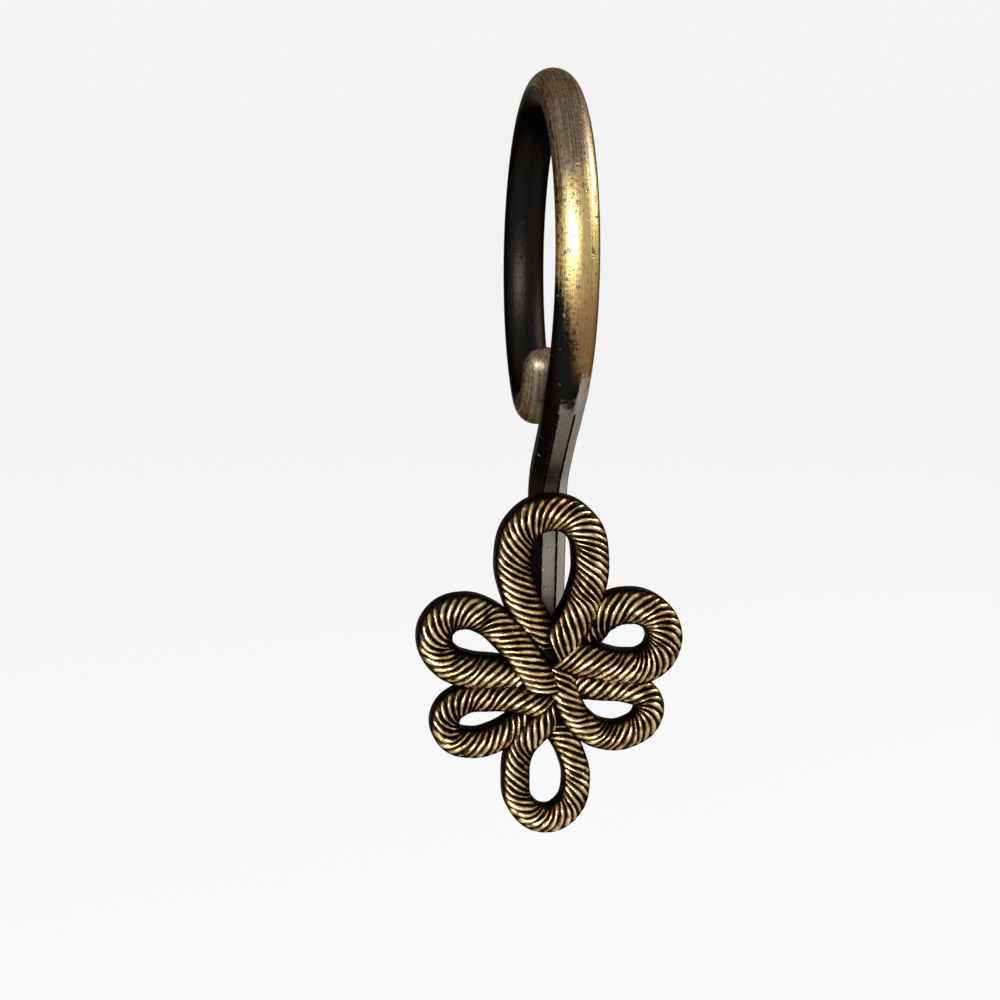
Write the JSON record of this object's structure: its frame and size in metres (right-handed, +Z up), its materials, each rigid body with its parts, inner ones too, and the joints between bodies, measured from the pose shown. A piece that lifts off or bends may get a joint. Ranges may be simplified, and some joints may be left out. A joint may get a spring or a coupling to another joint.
{
  "type": "shower curtain hook",
  "caption": "Curtain ring hook of round cast bar with a turned-in lip at the back, a faceted neck and a knotted rope ornament at the front.",
  "frame": {"origin": "centre of the ring, on the axis of the curtain rod", "axes": "+X along the curtain rod, -Y towards the ornament's front, +Z up"},
  "size_m": [0.0296, 0.0422, 0.0842],
  "materials": {
    "hook_metal": "antique brass, brushed outside, blackened inside",
    "ornament_metal": "antique brass, worn bright on the rope's crests and black in its grooves"
  },
  "bodies": {
    "root": {"cast_hook": "hook_metal", "rope_ornament": "ornament_metal"}
  },
  "joints": []
}
